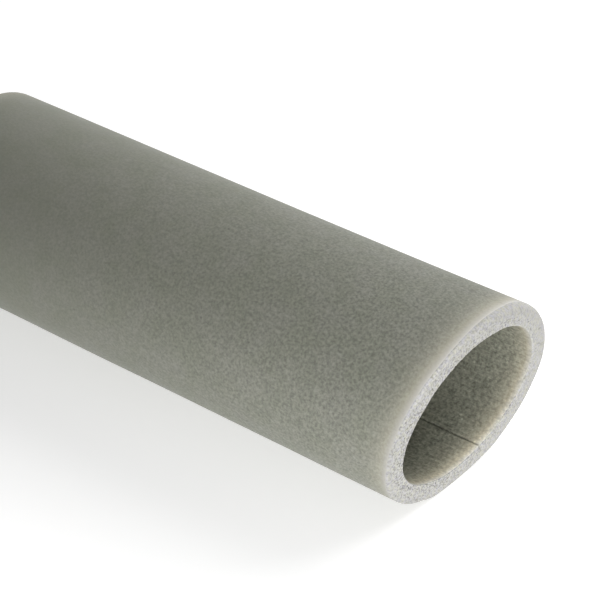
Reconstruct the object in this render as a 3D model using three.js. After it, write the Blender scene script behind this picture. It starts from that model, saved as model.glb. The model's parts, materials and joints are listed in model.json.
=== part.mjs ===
import * as THREE from 'three';

// A short length of foam pipe lagging, lying on its side. Sizes in millimetres, +X along the tube
// towards its slanted end, +Z up. The origin is under the middle of the tube, where it rests.

// The section, as the tube is when held round.
const boreDiameter = 76;
const wall = 9;

// The soft tube settles a little as it lies: this is what each half-width gains and each
// half-height loses.
const settle = 2.7;

// Length along the middle of the bore, from end to end.
const tubeLength = 264;

// The +X end was cut by hand and is off square: how far the cut swings round from one side to the
// other, and how far its top leans out over its foot, in degrees.
const cutSwing = 7.65;
const cutLean = 4.35;

// A shallow score runs the whole length of the bore, low down on one side, to guide the knife when
// the tube is slit to go over a pipe. Its angle goes round the bore, from +Y up towards +Z.
const scoreAngle = -71;
const scoreWidth = 0.8;
const scoreDepth = 1.2;

// Sides of each round outline, a multiple of 4 so that the tube rests on a flat one.
const sides = 144;

// The corners of an oval outline, starting half a side beyond the given angle.
function ovalCorners(halfWidth, halfHeight, startAngle) {
  const corners = [];
  for (let i = 0; i < sides; i += 1) {
    const angle = startAngle + ((i + 0.5) / sides) * 2 * Math.PI;
    corners.push(new THREE.Vector2(halfWidth * Math.cos(angle), halfHeight * Math.sin(angle)));
  }
  return corners;
}

// The four corners of the score, which is cut square into the wall from the bore, in the order
// that continues the bore's outline.
function scoreCorners(halfWidth, halfHeight, angle) {
  const mouth = new THREE.Vector2(halfWidth * Math.cos(angle), halfHeight * Math.sin(angle));
  const inward = new THREE.Vector2(Math.cos(angle) / halfWidth, Math.sin(angle) / halfHeight);
  inward.setLength(scoreDepth);
  const across = new THREE.Vector2(-inward.y, inward.x).setLength(scoreWidth / 2);
  return [
    mouth.clone().sub(across),
    mouth.clone().sub(across).add(inward),
    mouth.clone().add(across).add(inward),
    mouth.clone().add(across),
  ];
}

// The bore's outline: an oval with the score in it. Corners of the oval that come nearer to the
// score's mouth than its width make way for it.
function boreCorners(halfWidth, halfHeight) {
  const angle = THREE.MathUtils.degToRad(scoreAngle);
  const score = scoreCorners(halfWidth, halfHeight, angle);
  const mouth = score[0].clone().add(score[3]).divideScalar(2);
  const oval = ovalCorners(halfWidth, halfHeight, angle);
  return [...score, ...oval.filter((corner) => corner.distanceTo(mouth) > scoreWidth)];
}

function tubeSection() {
  const boreRadius = boreDiameter / 2;
  const outerRadius = boreRadius + wall;
  const section = new THREE.Shape(ovalCorners(outerRadius + settle, outerRadius - settle, 0));
  section.holes.push(new THREE.Path(boreCorners(boreRadius + settle, boreRadius - settle)));
  return section;
}

// Turns the +X end of a tube along X into a slanted one: each of its corners moves along the tube
// by its place across the section.
function slantEnd(geometry) {
  const swing = Math.tan(THREE.MathUtils.degToRad(cutSwing));
  const lean = Math.tan(THREE.MathUtils.degToRad(cutLean));
  const corners = geometry.getAttribute('position');
  for (let i = 0; i < corners.count; i += 1) {
    if (corners.getX(i) > tubeLength / 2) {
      corners.setX(i, tubeLength + corners.getY(i) * swing + corners.getZ(i) * lean);
    }
  }
}

// One piece: foam drawn out as a tube, cut to length.
function makeTube() {
  const geometry = new THREE.ExtrudeGeometry(tubeSection(), {
    depth: tubeLength,
    bevelEnabled: false,
  });
  const along = new THREE.Vector3(1, 0, 0);
  const sideways = new THREE.Vector3(0, 1, 0);
  const up = new THREE.Vector3(0, 0, 1);
  geometry.applyMatrix4(new THREE.Matrix4().makeBasis(sideways, up, along));
  slantEnd(geometry);
  geometry.computeVertexNormals();
  geometry.computeBoundingBox();

  const foam = new THREE.MeshStandardMaterial({ color: '#7d7e74', roughness: 0.85, metalness: 0 });
  const tube = new THREE.Mesh(geometry, foam);
  tube.name = 'foam_tube';
  const middle = geometry.boundingBox.getCenter(new THREE.Vector3());
  tube.position.set(-middle.x, -middle.y, -geometry.boundingBox.min.z);
  return tube;
}

const lagging = new THREE.Group();
lagging.add(makeTube());

export default lagging;
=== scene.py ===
import json
import math

import bpy
import numpy as np
from mathutils import Matrix, Vector, noise


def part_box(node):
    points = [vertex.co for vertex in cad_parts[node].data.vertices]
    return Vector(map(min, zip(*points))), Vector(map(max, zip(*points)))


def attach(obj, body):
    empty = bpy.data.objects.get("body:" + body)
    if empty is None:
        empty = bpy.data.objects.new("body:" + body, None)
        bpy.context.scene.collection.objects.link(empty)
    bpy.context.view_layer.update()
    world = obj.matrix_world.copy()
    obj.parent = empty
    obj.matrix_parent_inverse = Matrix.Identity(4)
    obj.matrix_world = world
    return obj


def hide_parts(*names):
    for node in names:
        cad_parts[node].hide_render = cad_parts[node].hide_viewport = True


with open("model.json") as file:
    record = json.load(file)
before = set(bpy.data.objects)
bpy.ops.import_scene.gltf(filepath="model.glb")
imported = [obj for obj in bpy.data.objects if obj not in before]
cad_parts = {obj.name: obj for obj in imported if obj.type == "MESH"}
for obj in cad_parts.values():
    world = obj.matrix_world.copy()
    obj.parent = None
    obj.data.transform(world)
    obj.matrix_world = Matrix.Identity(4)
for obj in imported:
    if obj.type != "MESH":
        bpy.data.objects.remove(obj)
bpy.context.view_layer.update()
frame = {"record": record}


# The foam tube
# One length of pipe lagging, of closed-cell polyethylene foam. It was drawn out hot through a
# ring-shaped die, which leaves a thin skin outside and in the bore, and then cut to length with a
# knife, which opens the cells on both ends. It rests on the floor and nothing fixes it.

# One millimetre in the frame's metres.
mm = 0.001

tube_low, tube_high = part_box("foam_tube")
half_width = (tube_high[1] - tube_low[1]) / 2
half_height = (tube_high[2] - tube_low[2]) / 2
middle_z = (tube_low[2] + tube_high[2]) / 2
tube_wall = 9.0 * mm

end_faces = {mount["name"]: mount for mount in frame["record"]["mounts"]}

# The knife leaves the outer edge a little rounder than the bore's. At the slanted end it is the
# roundest at one angle, high up on +Y, where the knife came out. A falloff is a power of the cosine
# of the angle from there, so a form with a higher one is narrower.
outer_edge_radius = 1.0 * mm
bore_edge_radius = 0.5 * mm
roundest_edge_radius = 4.4 * mm
roundest_angle = math.radians(50)
roundest_falloff = 3

# The score in the bore, and the lip beside it that the scoring blade pushed up. Both are deepest at
# the bore's surface and die away into the wall, by a power of how near that surface is.
score_angle = math.radians(-71)
score_width = 0.5 * mm
score_depth = 1.2 * mm
score_lip_height = 0.25 * mm
score_lip_width = 2.5 * mm
score_fade = 6
score_lip_fade = 4

# A cell of the foam, cut open, how much of it is missing from the bore's edge, and how far the
# knife's path wanders.
cell_size = 1.05 * mm
cell_depth = 0.36 * mm
edge_notch = 0.45 * mm
cut_wander = 0.22 * mm
cut_wander_length = 14 * mm

# The smallest opened cell as a share of the largest, how far the largest reaches from its middle in
# units of cell_size, how steep its side is, and what spreads the places that give each its size.
smallest_cell = 0.45
cell_reach = 0.62
cell_steepness = 1.6
cell_spread = 31.7

# The mandrel stood a little to one side in the die, so the wall is thinner on +Y.
bore_drift = np.array([0.8, -0.2]) * mm

# The mandrel was worn as well: at these angles the wall is this much thicker, or thinner.
uneven_wall = ((math.radians(143), 1.35 * mm), (math.radians(197), -0.6 * mm))
uneven_falloff = 10

# The wall springs outward at the slanted end, most at this angle, and dies away over this length.
# Low down it takes at most this share of the gap to the floor.
flare = 1.9 * mm
flare_angle = math.radians(-25)
flare_falloff = 0.5
flare_length = 45 * mm
flare_gap_share = 0.35

# How far the soft skin and the bore stand out of true, and over what length. The offsets move the
# bore's swell and its draw lines to other parts of the noise.
skin_swell = 0.10 * mm
skin_swell_length = 38 * mm
bore_swell = 0.30 * mm
bore_swell_length = 13 * mm
draw_line_height = 0.05 * mm
draw_line_spacing = 1.6 * mm
draw_line_length = 60 * mm
bore_noise_offset = Vector((5, 5, 5))
draw_line_offset = 9

# The back end is turned from the light, so the painted glow there is as weak as this far from a lit cut.
back_shade = 6 * mm

# The mesh is a grid, of columns round the tube and of rows along each stretch of the wall's
# outline. The kinds of surface are numbered in the order of the tube's materials.
columns = 640
skin_rows = 36
bore_rows = 32
face_rows = 36
edge_rows = 4
SKIN, CUT, BORE = 0, 1, 2


def cut_x(end, y, z):
    """Where the plane of an end's slanted cut is along the tube."""
    point, normal = end_faces[end]["pos_m"], end_faces[end]["axis"]
    lift = normal[1] * (y - point[1]) + normal[2] * (z - point[2])
    return point[0] - lift / normal[0]


middle_length = cut_x("slanted_end", 0, middle_z) - cut_x("square_end", 0, middle_z)


def wall_outline(front_radius):
    """The outline of the wall, cut along the tube, once round: (height in the wall, place along
    the tube, kind of surface) for each row. It starts at the skin's front end, where the outer
    edge has this radius."""
    long, wall = middle_length, tube_wall
    back_radius, inner = outer_edge_radius, bore_edge_radius
    rows = []

    def stretch(count, start, end, kind, crowded):
        for step in range(count):
            part = step / count
            part = (1 - math.cos(math.pi * part)) / 2 if crowded else part
            rows.append((*(np.array(start) * (1 - part) + np.array(end) * part), kind))

    def edge(centre, radius, first_angle):
        for step in range(edge_rows):
            angle = first_angle + math.pi / 2 * step / edge_rows
            reach = radius * math.sin(angle), radius * math.cos(angle)
            rows.append((centre[0] + reach[0], centre[1] + reach[1], CUT))

    stretch(skin_rows, (wall, long - front_radius), (wall, back_radius), SKIN, True)
    edge((wall - back_radius, back_radius), back_radius, math.pi / 2)
    stretch(face_rows, (wall - back_radius, 0), (inner, 0), CUT, False)
    edge((inner, inner), inner, math.pi)
    stretch(bore_rows, (0, inner), (0, long - inner), BORE, True)
    edge((inner, long - inner), inner, 1.5 * math.pi)
    stretch(face_rows, (inner, long), (wall - front_radius, long), CUT, False)
    edge((wall - front_radius, long - front_radius), front_radius, 0)
    return rows


def cut_cell(point):
    """How deep the opened cell is at a point of a cut face: 0 beside it, up to 1 in a large one."""
    distances, centres = noise.voronoi(point / cell_size)
    size = smallest_cell + (1 - smallest_cell) * noise.cell(centres[0] * cell_spread)
    from_side = 1 - distances[0] / (cell_reach * size)
    return size * max(0.0, min(1.0, cell_steepness * from_side))


def make_tube():
    """The tube as one closed mesh, a grid of rows round the wall's outline and columns round the
    bore. The first column runs along the score."""
    turns = score_angle + np.arange(columns) * 2 * math.pi / columns
    bore_radius = (half_width + half_height) / 2 - tube_wall
    turns[1] = score_angle + score_width / 2 / bore_radius
    turns[-1] = score_angle + 2 * math.pi - score_width / 2 / bore_radius
    round_bore = (turns - score_angle) * bore_radius
    from_score = np.minimum(round_bore, 2 * math.pi * bore_radius - round_bore)

    wander = cut_wander * np.array([
        noise.noise(Vector((math.cos(turn), math.sin(turn), 0)) * half_width / cut_wander_length)
        for turn in turns])

    def near(angle, falloff):
        """1 at an angle round the tube, and down to 0 at a right angle from it."""
        return np.maximum(0, np.cos(turns - angle)) ** falloff

    flares = flare * near(flare_angle, flare_falloff)
    flares = np.minimum(flares, flare_gap_share * half_height * (1 + np.sin(turns)))
    thicker = sum(extra * near(angle, uneven_falloff) for angle, extra in uneven_wall)
    rounder = (roundest_edge_radius - outer_edge_radius) * near(roundest_angle, roundest_falloff)
    outlines = np.array([wall_outline(outer_edge_radius + extra) for extra in rounder])
    heights, alongs, kinds = outlines.transpose(2, 1, 0)

    points, pits = [], []
    for height, along, kind in zip(heights, alongs, kinds):
        inside = 1 - height / tube_wall
        y = (half_width - tube_wall + height) * np.cos(turns) + inside * bore_drift[0]
        z = middle_z + (half_height - tube_wall + height) * np.sin(turns) + inside * bore_drift[1]
        back, front = cut_x("square_end", y, z), cut_x("slanted_end", y, z) + wander
        x = back + along * (front - back) / middle_length
        lifts = (1 - inside) * flares * np.exp((along - middle_length) / flare_length) - inside * thicker
        for column, turn in enumerate(turns):
            point = Vector((x[column], y[column], z[column]))
            outward = Vector((0, math.cos(turn) / half_width, math.sin(turn) / half_height)).normalized()
            lift = lifts[column] + skin_swell * noise.noise(point / skin_swell_length)
            swell = bore_swell * noise.noise(point / bore_swell_length + bore_noise_offset)
            draw = Vector((round_bore[column] / draw_line_spacing, along[column] / draw_line_length,
                           draw_line_offset))
            lift += inside[column] * (swell + draw_line_height * noise.noise(draw))
            if from_score[column] < score_lip_width and column < columns / 2:
                lip = math.sin(math.pi * from_score[column] / score_lip_width)
                lift -= inside[column] ** score_lip_fade * score_lip_height * lip
            if column == 0:
                lift += inside[column] ** score_fade * score_depth
            pit = 0.0
            if kind[column] == CUT:
                pit = cut_cell(point)
                end = end_faces["square_end" if along[column] < middle_length / 2 else "slanted_end"]
                point -= Vector(end["axis"]) * cell_depth * pit
                lift += max(0, 1 - height[column] / bore_edge_radius) * edge_notch * pit
            points.append(point + outward * lift)
            pits.append(pit)

    faces = []
    for row in range(len(kinds)):
        following = (row + 1) % len(kinds)
        for column in range(columns):
            beside = (column + 1) % columns
            faces.append((row * columns + column, row * columns + beside,
                          following * columns + beside, following * columns + column))

    mesh = bpy.data.meshes.new("foam_tube_visual")
    mesh.from_pydata(points, [], faces)
    mesh.polygons.foreach_set("material_index", kinds.astype(int).ravel())
    mesh.shade_smooth()

    # The skin starts further from the cut where the edge is rounder, and its painted glow starts from there.
    from_front = middle_length - alongs - rounder * heights / tube_wall
    facts = {
        "mm_along": alongs / mm,
        "mm_from_cut": np.minimum(alongs + back_shade, from_front) / mm,
        "mm_into_wall": heights / mm,
        "mm_round_bore": np.tile(round_bore, len(kinds)) / mm,
        "mm_from_score": np.tile(from_score, len(kinds)) / mm,
        "cell_pit": np.array(pits),
    }
    for name, values in facts.items():
        mesh.attributes.new(name, "FLOAT", "POINT").data.foreach_set("value", values.ravel())
    return mesh


tube = bpy.data.objects.new("lagging_tube", make_tube())
bpy.context.scene.collection.objects.link(tube)


def linear(colour):
    """An sRGB hex colour as the linear numbers that a socket takes."""
    channels = [int(colour[i:i + 2], 16) / 255 for i in (1, 3, 5)]
    return [*(c / 12.92 if c <= 0.04045 else ((c + 0.055) / 1.055) ** 2.4 for c in channels), 1.0]


# A Mix node has several sockets of one name, so its factor, its two colours and the colour that it
# gives go by number. So do the two numbers of a Math node, 0 and 1.
FACTOR, FIRST, SECOND = 0, 6, 7
MIXED = 2


def add(tree, kind, inputs=(), stops=(), **settings):
    """Adds a node with its settings, a colour ramp's stops, and a value or a link for each input."""
    node = tree.nodes.new("ShaderNode" + kind)
    for name, value in settings.items():
        setattr(node, name, value)
    for index, (place, colour) in enumerate(stops):
        elements = node.color_ramp.elements
        element = elements[index] if index < len(elements) else elements.new(place)
        element.position, element.color = place, colour
    for socket, value in dict(inputs).items():
        if isinstance(value, bpy.types.NodeSocket):
            tree.links.new(value, node.inputs[socket])
        else:
            node.inputs[socket].default_value = value
    return node


def new_material(name):
    """A material with only its output node: (material, node tree, output node)."""
    material = bpy.data.materials.new(name)
    material.use_nodes = True
    material.node_tree.nodes.clear()
    return material, material.node_tree, add(material.node_tree, "OutputMaterial")


def grey(level):
    """A plain grey of that linear level, for a ramp that gives a number."""
    return (level, level, level, 1.0)


# Drawn polyethylene foam skin. The die melts the outermost cells shut, so the surface is matt and
# even, with the cells beneath showing as a fine mottle. Light that enters at a cut dies away
# inside the foam; this glow is painted into the skin's colour, pale at its edge and grey from
# about 15 mm on.
def drawn_foam_skin():
    material, tree, output = new_material("drawn_foam_skin")
    place = add(tree, "TexCoord").outputs["Object"]
    from_cut = add(tree, "Attribute", attribute_name="mm_from_cut").outputs["Fac"]
    along = add(tree, "Attribute", attribute_name="mm_along").outputs["Fac"]

    # The cells make a mottle, from single cells of 0.4 mm to groups 1.2 mm wide. It is four times as
    # strong near the slanted end, where the skin is thinner, as near the square one.
    cells = add(tree, "TexNoise", {"Vector": place, "Scale": 1 / (1.2 * mm), "Detail": 1.5,
                                   "Roughness": 0.7})
    mottle = add(tree, "MapRange", {"Value": cells.outputs["Fac"], "From Min": 0.3, "From Max": 0.7,
                                    "To Min": 0.70, "To Max": 1.30})
    strength = add(tree, "MapRange", {"Value": along, "From Min": 40.0, "From Max": 220.0,
                                      "To Min": 0.23, "To Max": 0.95})
    # Broad patches, 14 mm across, are a little darker and greener or a little paler.
    patches = add(tree, "TexNoise", {"Vector": place, "Scale": 1 / (14 * mm), "Detail": 2.0})
    grey_foam = add(tree, "ValToRGB", {"Fac": patches.outputs["Fac"]},
                    stops=[(0.35, linear("#7f8175")), (0.65, linear("#83847a"))])
    speckled = add(tree, "Mix", {FACTOR: strength.outputs[0], FIRST: grey_foam.outputs["Color"],
                                 SECOND: mottle.outputs[0]},
                   data_type="RGBA", blend_type="MULTIPLY")
    # Here and there a larger cell, 1 mm wide and about 9 mm from the next, makes a faint dark fleck.
    flecks = add(tree, "TexVoronoi", {"Vector": place, "Scale": 1 / (9 * mm)})
    fleck = add(tree, "MapRange", {"Value": flecks.outputs["Distance"], "From Min": 0.03, "From Max": 0.08,
                                   "To Min": 0.72, "To Max": 1.0})
    flecked = add(tree, "Mix", {FACTOR: 1.0, FIRST: speckled.outputs[MIXED],
                                SECOND: fleck.outputs[0]},
                  data_type="RGBA", blend_type="MULTIPLY")

    # The painted glow falls to about a third over each 4.1 mm.
    depth = add(tree, "Math", {0: from_cut, 1: -1 / 4.1}, operation="MULTIPLY")
    painted_glow_share = add(tree, "Math", {0: depth.outputs[0]}, operation="EXPONENT")
    reach = add(tree, "MapRange", {"Value": from_cut, "From Max": 5.0})
    painted_glow_colour = add(tree, "ValToRGB", {"Fac": reach.outputs[0]},
               stops=[(0.2, linear("#bbb9b5")), (0.95, linear("#bfb9a8"))])
    # It hardly depends on the light that falls on the skin, so the painted glow is made stronger
    # higher up, and most on the dim top.
    height = add(tree, "SeparateXYZ", {"Vector": place}).outputs["Z"]
    painted_glow_by_height = add(tree, "MapRange", {"Value": height, "From Min": 12 * mm, "From Max": 66 * mm,
                                  "To Min": 0.78, "To Max": 1.15})
    painted_top_glow = add(tree, "MapRange", {"Value": height, "From Min": 64 * mm, "From Max": 84 * mm,
                                 "To Min": 1.0, "To Max": 1.42})
    painted_glow_level = add(tree, "Math", {0: painted_glow_by_height.outputs[0], 1: painted_top_glow.outputs[0]}, operation="MULTIPLY")
    painted_glow = add(tree, "Mix", {FACTOR: 1.0, FIRST: painted_glow_colour.outputs["Color"],
                            SECOND: painted_glow_level.outputs[0]},
              data_type="RGBA", blend_type="MULTIPLY")
    colour = add(tree, "Mix", {FACTOR: painted_glow_share.outputs[0], FIRST: flecked.outputs[MIXED],
                               SECOND: painted_glow.outputs[MIXED]},
                 data_type="RGBA")

    bump = add(tree, "Bump", {"Height": cells.outputs["Fac"], "Strength": 0.5, "Distance": 0.15 * mm})
    foam = add(tree, "BsdfPrincipled", {
        "Base Color": colour.outputs[MIXED], "Normal": bump.outputs["Normal"], "Roughness": 0.7, "IOR": 1.5,
        "Specular IOR Level": 0.3, "Subsurface Weight": 0.25, "Subsurface Radius": (1.0, 0.85, 0.65),
        "Subsurface Scale": 2.0 * mm, "Sheen Weight": 0.08, "Sheen Roughness": 0.5})
    tree.links.new(foam.outputs[0], output.inputs["Surface"])
    return material


# Knife-cut polyethylene foam. The open cells scatter the light, so the cut is much paler than the
# skin, and the shade in the deeper cells is painted as small dark pores, plainest beside the bore.
def knife_cut_foam():
    material, tree, output = new_material("knife_cut_foam")
    place = add(tree, "TexCoord").outputs["Object"]
    pit = add(tree, "Attribute", attribute_name="cell_pit").outputs["Fac"]
    into_wall = add(tree, "Attribute", attribute_name="mm_into_wall").outputs["Fac"]

    # Small cells, 0.4 to 0.9 mm wide, between the large ones that the mesh has. The shade in both is
    # painted dark, in the large ones by how deep the mesh has them.
    cells = add(tree, "TexNoise", {"Vector": place, "Scale": 1 / (0.9 * mm), "Detail": 1.0})
    painted_small_pore_shade = add(tree, "MapRange", {"Value": cells.outputs["Fac"], "From Min": 0.34, "From Max": 0.56,
                                   "To Min": 0.52, "To Max": 1.08})
    painted_pit_shade = add(tree, "MapRange", {"Value": pit, "From Min": 0.0, "From Max": 0.8,
                                  "To Min": 1.08, "To Max": 0.48})
    painted_cell_shade = add(tree, "Math", {0: painted_small_pore_shade.outputs[0], 1: painted_pit_shade.outputs[0]}, operation="MULTIPLY")
    # The painted pore shade fades away from the bore and towards +Y.
    near_bore = add(tree, "MapRange", {"Value": into_wall, "From Min": 2.0, "From Max": 8.0,
                                       "To Min": 1.0, "To Max": 0.55})
    axes = add(tree, "SeparateXYZ", {"Vector": place})
    pore_shade_toward_y = add(tree, "MapRange", {"Value": axes.outputs["Y"], "From Min": -30 * mm, "From Max": 45 * mm,
                                  "To Min": 1.0, "To Max": 0.45})
    strength = add(tree, "Math", {0: near_bore.outputs[0], 1: pore_shade_toward_y.outputs[0]}, operation="MULTIPLY")
    faded_cell_shade = add(tree, "Mix", {FACTOR: strength.outputs[0], FIRST: grey(1.0),
                             SECOND: painted_cell_shade.outputs[0]},
               data_type="RGBA")
    # Clouds, 1.6 mm across, lean a little towards violet or towards cream.
    clouds = add(tree, "TexNoise", {"Vector": place, "Scale": 1 / (1.6 * mm), "Detail": 2.0})
    pale_foam = add(tree, "ValToRGB", {"Fac": clouds.outputs["Fac"]},
                    stops=[(0.35, linear("#b5b4b7")), (0.65, linear("#bab9ae"))])
    pale_foam_with_cell_shade = add(tree, "Mix", {FACTOR: 1.0, FIRST: pale_foam.outputs["Color"],
                                    SECOND: faded_cell_shade.outputs[MIXED]},
                      data_type="RGBA", blend_type="MULTIPLY")
    # Painted light: the cut is a little paler towards +Y and low down. The rim of the bore has a
    # painted glow, as the bore does beside it. The rounded outer edge is painted paler on top, where
    # less light falls, and a little darker lower down.
    painted_light_toward_y = add(tree, "MapRange", {"Value": axes.outputs["Y"], "From Min": -45 * mm, "From Max": 45 * mm,
                                   "To Min": 0.93, "To Max": 1.04})
    painted_light_low_down = add(tree, "MapRange", {"Value": axes.outputs["Z"], "From Min": 5 * mm, "From Max": 85 * mm,
                                   "To Min": 1.05, "To Max": 0.92})
    painted_rim_glow = add(tree, "MapRange", {"Value": into_wall, "From Max": 0.45, "To Min": 1.12, "To Max": 1.0})
    painted_top_glow = add(tree, "MapRange", {"Value": axes.outputs["Z"], "From Min": 50 * mm, "From Max": 80 * mm,
                                 "To Min": 0.93, "To Max": 1.20})
    edge = add(tree, "MapRange", {"Value": into_wall, "From Min": 6.5, "From Max": 8.8,
                                  "To Min": 1.0, "To Max": painted_top_glow.outputs[0]})
    level = add(tree, "Math", {0: painted_light_toward_y.outputs[0], 1: painted_light_low_down.outputs[0]}, operation="MULTIPLY")
    level = add(tree, "Math", {0: level.outputs[0], 1: painted_rim_glow.outputs[0]}, operation="MULTIPLY")
    level = add(tree, "Math", {0: level.outputs[0], 1: edge.outputs[0]}, operation="MULTIPLY")
    colour = add(tree, "Mix", {FACTOR: 1.0, FIRST: pale_foam_with_cell_shade.outputs[MIXED],
                               SECOND: level.outputs[0]},
                 data_type="RGBA", blend_type="MULTIPLY")

    bump = add(tree, "Bump", {"Height": cells.outputs["Fac"], "Strength": 0.6, "Distance": 0.25 * mm})
    foam = add(tree, "BsdfPrincipled", {
        "Base Color": colour.outputs[MIXED], "Normal": bump.outputs["Normal"], "Roughness": 0.9, "IOR": 1.5,
        "Specular IOR Level": 0.2, "Subsurface Weight": 0.2, "Subsurface Radius": (1.0, 0.9, 0.8),
        "Subsurface Scale": 1.0 * mm})
    tree.links.new(foam.outputs[0], output.inputs["Surface"])
    return material


# Drawn polyethylene foam, on the mandrel's side. The mandrel drags on the soft foam, so the bore
# has fine lines along the tube and pale specks where a cell has torn. A glow beside a cut is
# painted into it as on the skin, cream at the very edge and then beige.
def drawn_foam_bore():
    material, tree, output = new_material("drawn_foam_bore")
    place = add(tree, "TexCoord").outputs["Object"]
    from_cut = add(tree, "Attribute", attribute_name="mm_from_cut").outputs["Fac"]
    round_bore = add(tree, "Attribute", attribute_name="mm_round_bore").outputs["Fac"]
    from_score = add(tree, "Attribute", attribute_name="mm_from_score").outputs["Fac"]

    # Drag lines, 0.7 mm apart and about 12 mm long.
    apart = add(tree, "Math", {0: round_bore, 1: 1 / 0.7}, operation="MULTIPLY")
    length = add(tree, "Math", {0: from_cut, 1: 1 / 12}, operation="MULTIPLY")
    drawn = add(tree, "CombineXYZ", {"X": apart.outputs[0], "Y": length.outputs[0]})
    lines = add(tree, "TexNoise", {"Vector": drawn.outputs[0], "Scale": 1.0, "Detail": 2.0})
    line = add(tree, "MapRange", {"Value": lines.outputs["Fac"], "From Min": 0.3, "From Max": 0.7,
                                  "To Min": 0.84, "To Max": 1.16})
    # Cells and groups of cells, 0.4 to 1.4 mm wide, as on the skin but plainer to see.
    cells = add(tree, "TexNoise", {"Vector": place, "Scale": 1 / (1.4 * mm), "Detail": 1.5,
                                   "Roughness": 0.7})
    mottle = add(tree, "MapRange", {"Value": cells.outputs["Fac"], "From Min": 0.3, "From Max": 0.7,
                                    "To Min": 0.58, "To Max": 1.42})
    # Pale specks, 1 mm wide, one to each 6 mm.
    specks = add(tree, "TexVoronoi", {"Vector": place, "Scale": 1 / (6 * mm)})
    speck = add(tree, "MapRange", {"Value": specks.outputs["Distance"], "From Min": 0.06, "From Max": 0.13,
                                   "To Min": 1.6, "To Max": 1.0})
    marked = add(tree, "Math", {0: line.outputs[0], 1: mottle.outputs[0]}, operation="MULTIPLY")
    marked = add(tree, "Math", {0: marked.outputs[0], 1: speck.outputs[0]}, operation="MULTIPLY")
    foam_grey = add(tree, "Mix", {FACTOR: 1.0, FIRST: linear("#7f8073"),
                                  SECOND: marked.outputs[0]},
                    data_type="RGBA", blend_type="MULTIPLY")

    # The painted glow's share, and its colour, over 16 mm from the cut. As on the skin, it is made
    # stronger where less light falls, which here is low down.
    reach = add(tree, "MapRange", {"Value": from_cut, "From Max": 16.0})
    painted_glow_share = add(tree, "ValToRGB", {"Fac": reach.outputs[0]},
                stops=[(0.0, grey(1.0)), (0.10, grey(0.80)), (0.23, grey(0.50)), (0.38, grey(0.25)),
                       (0.62, grey(0.08)), (1.0, grey(0.0))])
    painted_glow_colour = add(tree, "ValToRGB", {"Fac": reach.outputs[0]},
               stops=[(0.05, linear("#ece9df")), (0.19, linear("#e6ddc5"))])
    height = add(tree, "SeparateXYZ", {"Vector": place}).outputs["Z"]
    painted_glow_low_down = add(tree, "MapRange", {"Value": height, "From Min": 9 * mm, "From Max": 53 * mm,
                                 "To Min": 1.04, "To Max": 0.61})
    painted_glow_lowest = add(tree, "MapRange", {"Value": height, "From Min": 9 * mm, "From Max": 18 * mm,
                                    "To Min": 1.20, "To Max": 1.0})
    painted_glow_level = add(tree, "Math", {0: painted_glow_low_down.outputs[0], 1: painted_glow_lowest.outputs[0]}, operation="MULTIPLY")
    painted_glow = add(tree, "Mix", {FACTOR: 1.0, FIRST: painted_glow_colour.outputs["Color"],
                            SECOND: painted_glow_level.outputs[0]},
              data_type="RGBA", blend_type="MULTIPLY")
    streaked_painted_glow = add(tree, "Mix", {FACTOR: 0.4, FIRST: painted_glow.outputs[MIXED],
                                 SECOND: marked.outputs[0]},
                   data_type="RGBA", blend_type="MULTIPLY")
    with_painted_glow = add(tree, "Mix", {FACTOR: painted_glow_share.outputs["Color"], FIRST: foam_grey.outputs[MIXED],
                                SECOND: streaked_painted_glow.outputs[MIXED]},
                  data_type="RGBA")

    # Painted shade in the score, darker in some places than in others.
    stretch = add(tree, "TexNoise", {"Vector": place, "Scale": 1 / (9 * mm), "Detail": 2.0})
    darkest_score_shade = add(tree, "MapRange", {"Value": stretch.outputs["Fac"], "From Min": 0.35, "From Max": 0.65,
                                     "To Min": 0.90, "To Max": 0.40})
    painted_score_shade = add(tree, "MapRange", {"Value": from_score, "From Min": 0.05, "From Max": 0.60,
                                   "To Min": darkest_score_shade.outputs[0], "To Max": 1.0})
    # The painted glow hides the score's painted shade in the last 3 mm before the cut, and the
    # painted shade is weaker from 40 mm in.
    hidden = add(tree, "MapRange", {"Value": from_cut, "From Min": 0.5, "From Max": 3.5})
    fading_score_shade = add(tree, "MapRange", {"Value": from_cut, "From Min": 15.0, "From Max": 40.0,
                                     "To Min": 1.0, "To Max": 0.3})
    score_shade_shown = add(tree, "Math", {0: hidden.outputs[0], 1: fading_score_shade.outputs[0]}, operation="MULTIPLY")
    with_score_shade = add(tree, "Mix", {FACTOR: score_shade_shown.outputs[0], FIRST: with_painted_glow.outputs[MIXED],
                               SECOND: painted_score_shade.outputs[0]},
                 data_type="RGBA", blend_type="MULTIPLY")

    bump = add(tree, "Bump", {"Height": marked.outputs[0], "Strength": 0.4, "Distance": 0.15 * mm})
    foam = add(tree, "BsdfPrincipled", {
        "Base Color": with_score_shade.outputs[MIXED], "Normal": bump.outputs["Normal"], "Roughness": 0.75, "IOR": 1.5,
        "Specular IOR Level": 0.3, "Subsurface Weight": 0.25, "Subsurface Radius": (1.0, 0.85, 0.65),
        "Subsurface Scale": 2.0 * mm})
    tree.links.new(foam.outputs[0], output.inputs["Surface"])
    return material


for finish in (drawn_foam_skin, knife_cut_foam, drawn_foam_bore):
    tube.data.materials.append(finish())

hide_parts("foam_tube")
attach(tube, "root")


# The floor
# A plain white sheet of diffusing acrylic, lit from below as well as from above, as on a table for
# photographing goods. It is wide enough to fill every view.

floor_size = 24.0
floor_mesh = bpy.data.meshes.new("floor")
corner_signs = ((-1, -1), (1, -1), (1, 1), (-1, 1))
floor_corners = [(x * floor_size / 2, y * floor_size / 2, 0) for x, y in corner_signs]
floor_mesh.from_pydata(floor_corners, [], [(0, 1, 2, 3)])
floor = bpy.data.objects.new("floor", floor_mesh)
bpy.context.scene.collection.objects.link(floor)


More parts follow.
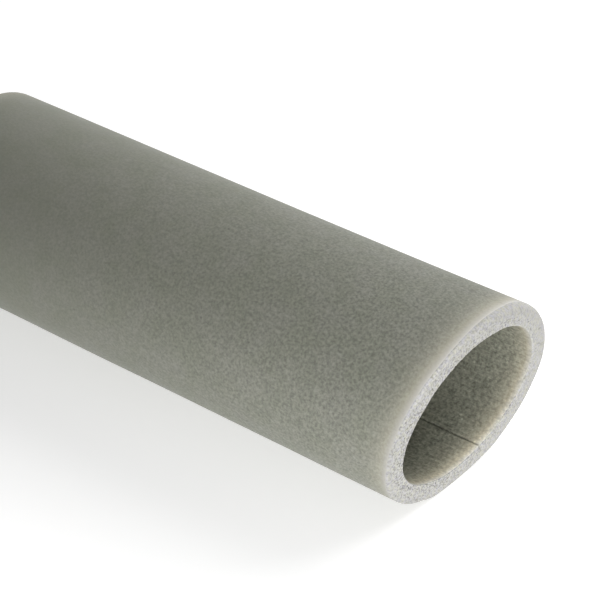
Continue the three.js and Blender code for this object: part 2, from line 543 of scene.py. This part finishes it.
# Opal acrylic sheet, smooth and matt. It passes some light up from below.
def opal_acrylic():
    material, tree, output = new_material("opal_acrylic")
    acrylic = add(tree, "BsdfPrincipled", {
        "Base Color": linear("#e6e6e6"), "Roughness": 0.6, "IOR": 1.49, "Specular IOR Level": 0.2,
        "Emission Color": linear("#ffffff"), "Emission Strength": 0.45})
    tree.links.new(acrylic.outputs[0], output.inputs["Surface"])
    return material


floor.data.materials.append(opal_acrylic())


# The studio light
# A white room, two large soft lamps behind the tube, and two small ones near the slanted end: one
# low down, which lights the cut and the foot of the skin, and one that shines into the bore.

room_light = 0.3
world = bpy.data.worlds.new("white_room")
bpy.context.scene.world = world
world.use_nodes = True
world.node_tree.nodes["Background"].inputs["Color"].default_value = linear("#ffffff")
world.node_tree.nodes["Background"].inputs["Strength"].default_value = room_light


def soft_lamp(name, place, target, size, watts):
    """A square area lamp at a place, turned to face the target."""
    data = bpy.data.lights.new(name, "AREA")
    data.size = size
    data.energy = watts
    lamp = bpy.data.objects.new(name, data)
    facing = (Vector(target) - Vector(place)).to_track_quat("-Z", "Y").to_matrix().to_4x4()
    lamp.matrix_world = Matrix.Translation(place) @ facing
    lamp.visible_camera = False
    bpy.context.scene.collection.objects.link(lamp)


tube_middle = (0, 0, middle_z)
bore_end = Vector((cut_x("slanted_end", 0, middle_z), 0, middle_z))
soft_lamp("back_lamp", (-0.3, 1.2, 0.7), tube_middle, size=0.9, watts=6.5)
soft_lamp("back_end_lamp", (0.5, 0.8, 0.9), tube_middle, size=0.8, watts=8.2)
soft_lamp("low_lamp", (0.42, -0.32, 0.08), bore_end, size=0.25, watts=0.82)
soft_lamp("bore_lamp", (0.26, -0.36, 0.20), bore_end, size=0.25, watts=0.64)


# The camera
# It looks down on the slanted end from the tube's right, with a long lens. The middle of the end's
# bore is at the named pixel of the 600 by 600 picture.

picture_size = 600
lens = 120.0
camera_azimuth = math.radians(34.998)
camera_elevation = math.radians(39.748)
end_pixel = (468.79, 406.78)
end_depth = 812.56 * mm

camera_data = bpy.data.cameras.new("camera")
camera_data.lens = lens
camera_data.sensor_width = 36.0
camera_data.clip_start = 0.05
camera = bpy.data.objects.new("camera", camera_data)
toward_camera = Vector((
    math.sin(camera_azimuth) * math.cos(camera_elevation),
    -math.cos(camera_azimuth) * math.cos(camera_elevation),
    math.sin(camera_elevation)))
turned = toward_camera.to_track_quat("Z", "Y").to_matrix()
right, up = turned.col[0], turned.col[1]
pixel_angle = camera_data.sensor_width / lens / picture_size
across_view = (end_pixel[0] - picture_size / 2) * pixel_angle * end_depth
down_view = (end_pixel[1] - picture_size / 2) * pixel_angle * end_depth
camera_place = bore_end + toward_camera * end_depth - right * across_view + up * down_view
camera.matrix_world = Matrix.Translation(camera_place) @ turned.to_4x4()
bpy.context.scene.collection.objects.link(camera)
bpy.context.scene.camera = camera
bpy.context.scene.view_settings.view_transform = "Standard"
